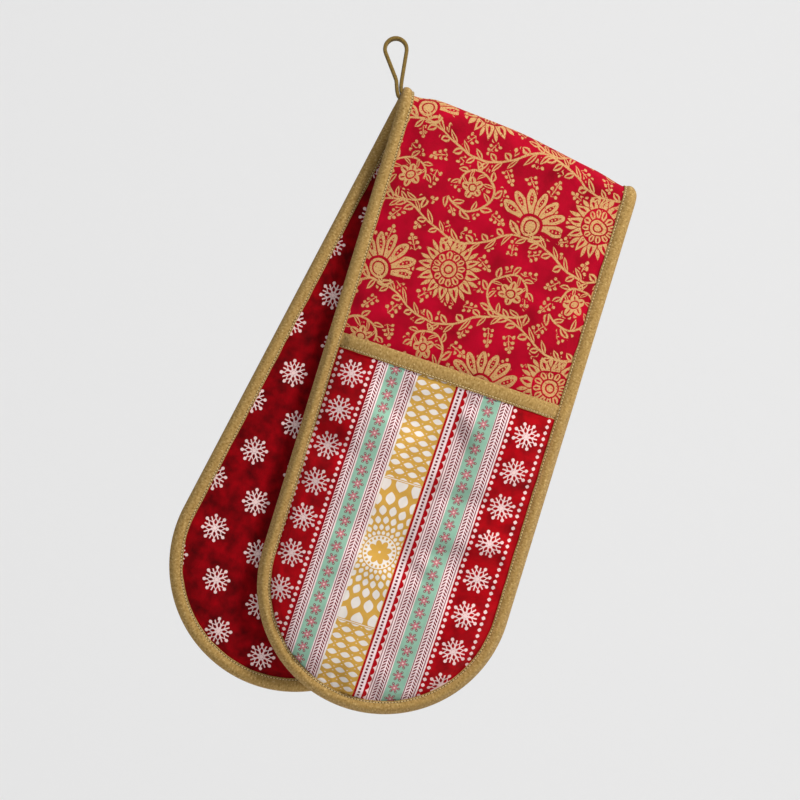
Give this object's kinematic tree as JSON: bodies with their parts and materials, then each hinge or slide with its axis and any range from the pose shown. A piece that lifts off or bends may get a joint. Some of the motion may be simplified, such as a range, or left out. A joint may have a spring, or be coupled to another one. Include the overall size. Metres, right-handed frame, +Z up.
{
  "type": "double oven glove",
  "caption": "Long padded strip folded in half over a hanging loop, with a round-ended hand pocket at each end and a bound edge.",
  "frame": {"origin": "inner top of the hanging loop, where a hook or peg bears", "axes": "+Z up along the hanging glove, -Y out of the front half's printed face, +X to the right as seen from the front"},
  "size_m": [0.3319, 0.052, 0.4778],
  "materials": {
    "outer_print": "crimson cotton printed with gold scrollwork",
    "backing_print": "deep red cotton with scattered white snowflakes",
    "pocket_print": "printed cotton in lengthwise bands of red, mint, white and mustard",
    "lining": "plain natural cotton",
    "wadding": "matt fibre wadding",
    "binding": "mottled old gold bias binding, machine stitched",
    "loop_tape": "old gold folded tape"
  },
  "bodies": {
    "loop": {"hang_loop": "loop_tape"},
    "fold_mid": {"fold_mid_outer_fabric": "outer_print", "fold_mid_wadding": "wadding", "fold_mid_backing": "backing_print", "fold_mid_left_binding": "binding", "fold_mid_right_binding": "binding"},
    "fold_front": {"fold_front_outer_fabric": "outer_print", "fold_front_wadding": "wadding", "fold_front_backing": "backing_print", "fold_front_left_binding": "binding", "fold_front_right_binding": "binding"},
    "fold_rear": {"fold_rear_outer_fabric": "outer_print", "fold_rear_wadding": "wadding", "fold_rear_backing": "backing_print", "fold_rear_left_binding": "binding", "fold_rear_right_binding": "binding"},
    "front_half": {"front_outer_fabric": "outer_print", "front_wadding": "wadding", "front_backing": "backing_print", "front_edge_binding": "binding"},
    "rear_half": {"rear_outer_fabric": "outer_print", "rear_wadding": "wadding", "rear_backing": "backing_print", "rear_edge_binding": "binding"},
    "front_pocket": {"front_pocket_fabric": "pocket_print", "front_pocket_wadding": "wadding", "front_pocket_lining": "lining", "front_pocket_mouth_binding": "binding"},
    "rear_pocket": {"rear_pocket_fabric": "pocket_print", "rear_pocket_wadding": "wadding", "rear_pocket_lining": "lining", "rear_pocket_mouth_binding": "binding"}
  },
  "joints": [
    {"name": "loop_swing", "type": "hinge", "parent": "loop", "child": "fold_mid", "pos_m": [0, 0, -0.04], "axis": [0, 1, 0], "range_deg": [-40, 40]},
    {"name": "front_lift", "type": "hinge", "parent": "fold_mid", "child": "fold_front", "pos_m": [0.08773, -0.00497, -0.07153], "axis": [-0.9249, 0, 0.3803], "range_deg": [0, 45]},
    {"name": "front_lift_lower", "type": "hinge", "parent": "fold_front", "child": "front_half", "pos_m": [0.08505, -0.012, -0.07803], "axis": [-0.9249, 0, 0.3803], "range_deg": [0, 45]},
    {"name": "rear_lift", "type": "hinge", "parent": "fold_mid", "child": "fold_rear", "pos_m": [0.08773, 0.00497, -0.07153], "axis": [0.9249, 0, -0.3803], "range_deg": [0, 45]},
    {"name": "rear_lift_lower", "type": "hinge", "parent": "fold_rear", "child": "rear_half", "pos_m": [0.08505, 0.012, -0.07803], "axis": [0.9249, 0, -0.3803], "range_deg": [0, 45]},
    {"name": "front_pocket_open", "type": "hinge", "parent": "front_half", "child": "front_pocket", "pos_m": [-0.03113, -0.013, -0.46279], "axis": [0.9563, 0, -0.2924], "range_deg": [0, 8], "stiffness_Nm_per_rad": 0.15, "springref_deg": -5.73},
    {"name": "rear_pocket_open", "type": "hinge", "parent": "rear_half", "child": "rear_pocket", "pos_m": [-0.10859, 0.013, -0.44386], "axis": [-0.8854, 0, 0.4648], "range_deg": [0, 8], "stiffness_Nm_per_rad": 0.15, "springref_deg": -5.73}
  ],
  "couplings": [
    {"joint": "front_lift_lower", "follows": "front_lift", "ratio": 1},
    {"joint": "rear_lift_lower", "follows": "rear_lift", "ratio": 1}
  ]
}
